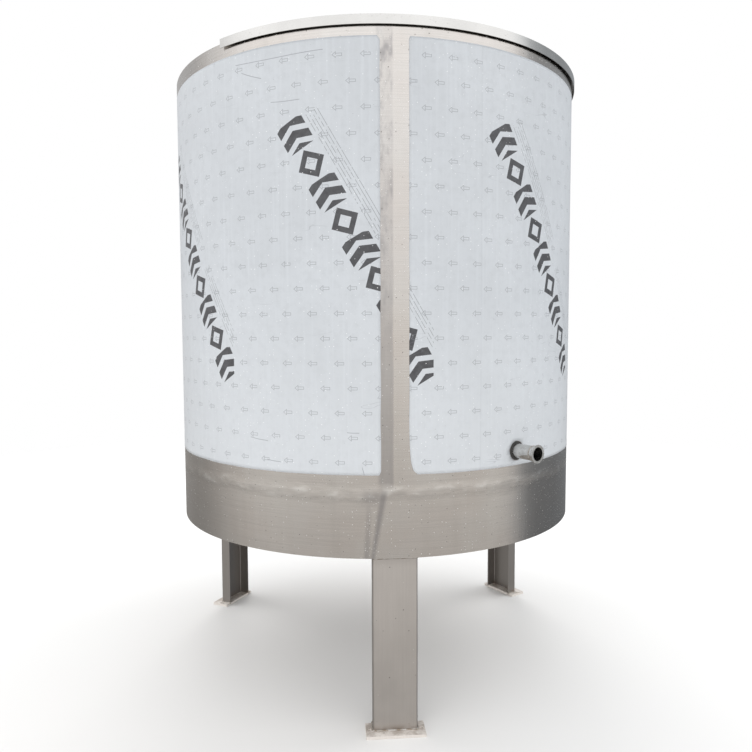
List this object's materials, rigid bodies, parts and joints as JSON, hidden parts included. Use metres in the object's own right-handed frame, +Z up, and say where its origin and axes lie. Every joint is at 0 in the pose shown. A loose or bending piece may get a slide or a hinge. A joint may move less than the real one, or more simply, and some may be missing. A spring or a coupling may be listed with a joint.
{
  "type": "bulk milk tank",
  "caption": "Vertical insulated stainless bulk milk tank on channel legs, with a hinged half lid, a geared agitator, a bottom outlet and a dipstick.",
  "frame": {"origin": "on the tank axis at floor level", "axes": "+Z up, the front leg stands towards -Y, the outlet points between -Y and +X, the lid opens upwards about a line that runs diagonally between +X and +Y"},
  "size_m": [1.6505, 1.6865, 2.61],
  "materials": {
    "jacket_steel": "satin",
    "lid_steel": "satin",
    "vessel_steel": "polished",
    "fitting_steel": "gloss",
    "leg_steel": "satin",
    "fastener_steel": "satin",
    "gear_steel": "satin",
    "film": "satin",
    "foam": "matte",
    "rubber": "matte",
    "gasket_rubber": "matte",
    "copper": "satin",
    "drive_paint": "satin",
    "cowl_paint": "satin",
    "fan_plastic": "matte",
    "winding": "satin"
  },
  "bodies": {
    "tank": {"agitator_base": "leg_steel", "base_band": "jacket_steel", "base_bolts": "fastener_steel", "base_insulation": "foam", "base_plate": "jacket_steel", "bearings": "fastener_steel", "bridge_beam": "vessel_steel", "cable_gland": "fan_plastic", "cover_screws": "fastener_steel", "dipstick_socket": "fitting_steel", "evaporator_plate": "vessel_steel", "fan_cowl": "cowl_paint", "film_left": "film", "film_right": "film", "fixed_deck": "jacket_steel", "foot_plate_front": "leg_steel", "foot_plate_left": "leg_steel", "foot_plate_right": "leg_steel", "gearbox_cover": "drive_paint", "gearbox_housing": "drive_paint", "hinge_deck_leaves": "fitting_steel", "hinge_pins": "fitting_steel", "jacket_left": "jacket_steel", "jacket_right": "jacket_steel", "leg_front": "leg_steel", "leg_left": "leg_steel", "leg_right": "leg_steel", "lid_stops": "leg_steel", "liquid_tube": "copper", "motor_housing": "drive_paint", "outlet_ferrule": "fitting_steel", "outlet_pipe": "fitting_steel", "rim_ring": "jacket_steel", "spray_ball": "fitting_steel", "stator": "winding", "stop_buffers": "rubber", "suction_tube": "copper", "support_ring": "leg_steel", "terminal_box": "drive_paint", "terminal_lid": "cowl_paint", "thermowell": "fitting_steel", "vent_cap": "fitting_steel", "vent_neck": "fitting_steel", "vessel_bottom": "vessel_steel", "vessel_wall": "vessel_steel", "wall_insulation": "foam", "wall_seals": "rubber", "wash_pipe": "fitting_steel"},
    "lid": {"lid": "lid_steel", "lid_gasket": "gasket_rubber", "lid_handle": "fitting_steel", "hinge_lid_leaves": "fitting_steel"},
    "agitator": {"agitator_shaft": "vessel_steel", "agitator_paddle": "vessel_steel", "shaft_gear": "gear_steel"},
    "idler": {"idler_shaft": "gear_steel", "idler_gear": "gear_steel"},
    "rotor": {"motor_rotor": "gear_steel", "motor_fan": "fan_plastic"},
    "dipstick": {"dipstick": "fitting_steel"}
  },
  "joints": [
    {"name": "lid_hinge", "type": "hinge", "parent": "tank", "child": "lid", "pos_m": [0.01344, -0.01344, 2.337], "axis": [-0.7071, -0.7071, 0], "range_deg": [0, 100]},
    {"name": "agitator_spin", "type": "hinge", "parent": "tank", "child": "agitator", "pos_m": [-0.12021, 0.12021, 1.8], "axis": [0, 0, 1], "continuous": true},
    {"name": "idler_spin", "type": "hinge", "parent": "tank", "child": "idler", "pos_m": [-0.16476, 0.16476, 2.37], "axis": [0, 0, 1], "continuous": true},
    {"name": "motor_spin", "type": "hinge", "parent": "tank", "child": "rotor", "pos_m": [-0.12021, 0.12021, 2.5], "axis": [0, 0, 1], "continuous": true},
    {"name": "dipstick_lift", "type": "slide", "parent": "tank", "child": "dipstick", "axis": [0, 0, 1], "range_m": [0, 1.2]}
  ],
  "couplings": [
    {"joint": "idler_spin", "follows": "agitator_spin", "ratio": -6},
    {"joint": "motor_spin", "follows": "agitator_spin", "ratio": 30}
  ]
}
